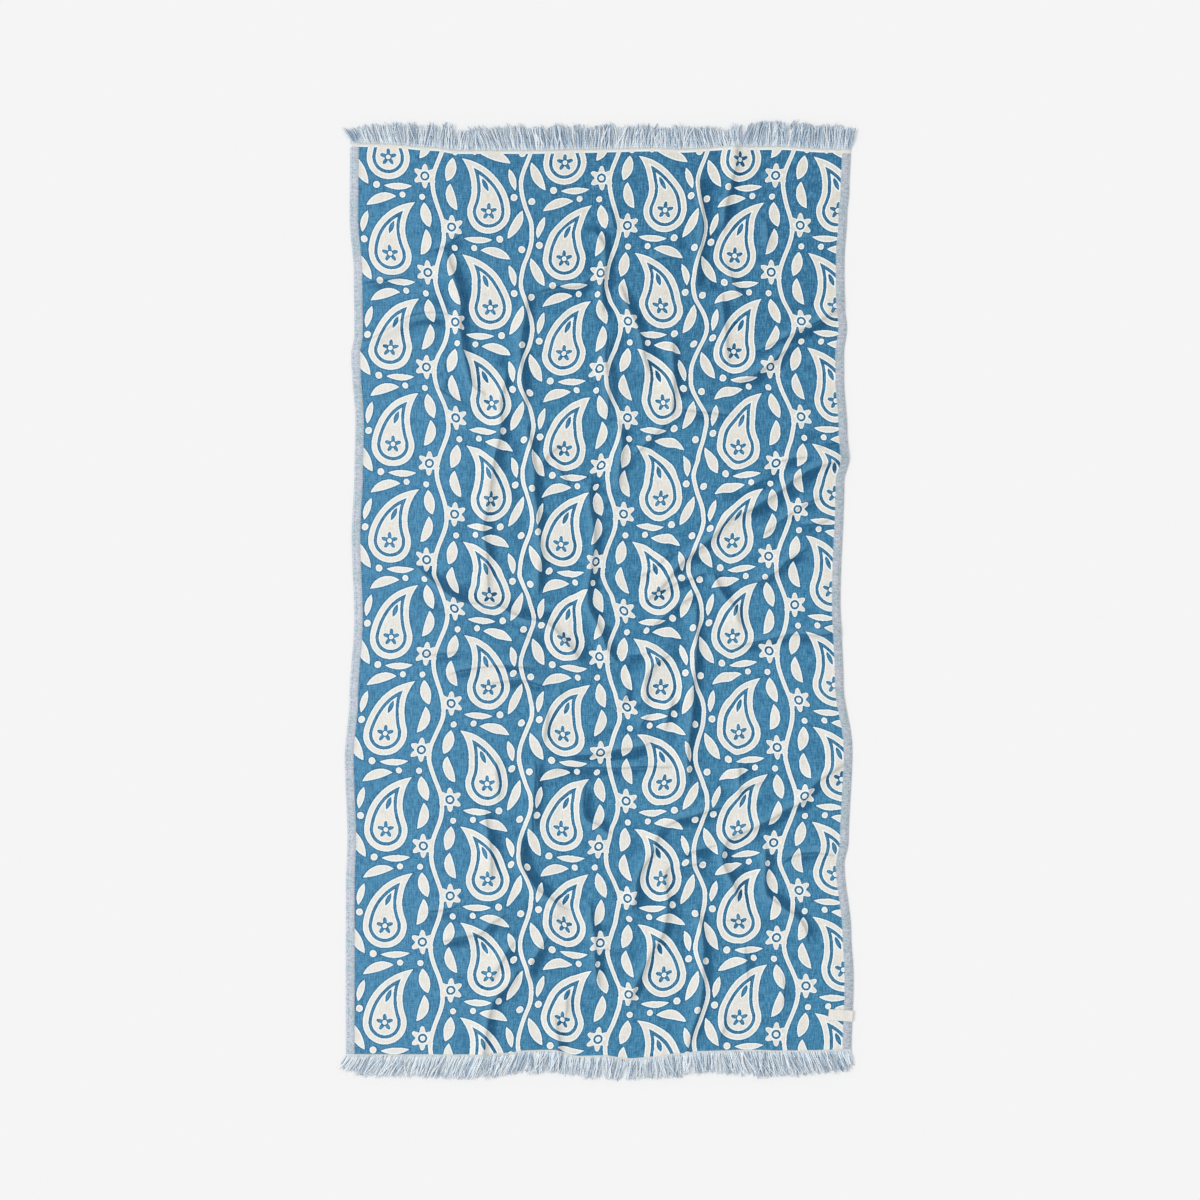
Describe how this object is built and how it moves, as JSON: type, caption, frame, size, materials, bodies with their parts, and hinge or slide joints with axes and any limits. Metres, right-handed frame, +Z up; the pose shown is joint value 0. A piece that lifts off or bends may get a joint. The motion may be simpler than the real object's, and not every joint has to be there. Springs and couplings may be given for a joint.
{
  "type": "turkish towel",
  "caption": "Flat-woven cotton towel laid out face up in soft folds, with plain side bands, a loose warp fringe at each end and a small bare label.",
  "frame": {"origin": "middle of the cut cloth, on the surface that the towel lies on", "axes": "+X across the towel to its right side as seen from above, +Y along it to its upper end, +Z up out of its face"},
  "size_m": [0.9847, 1.8227, 0.016],
  "materials": {
    "cloth": "flat-woven cotton, blue and cream, matt",
    "fringe": "loose plied cotton yarn, pale blue and white, matt",
    "label": "tight woven tape, cream, matt"
  },
  "bodies": {
    "root": {"cloth": "cloth", "fringe_top": "fringe", "fringe_bottom": "fringe", "label": "label"}
  },
  "joints": []
}
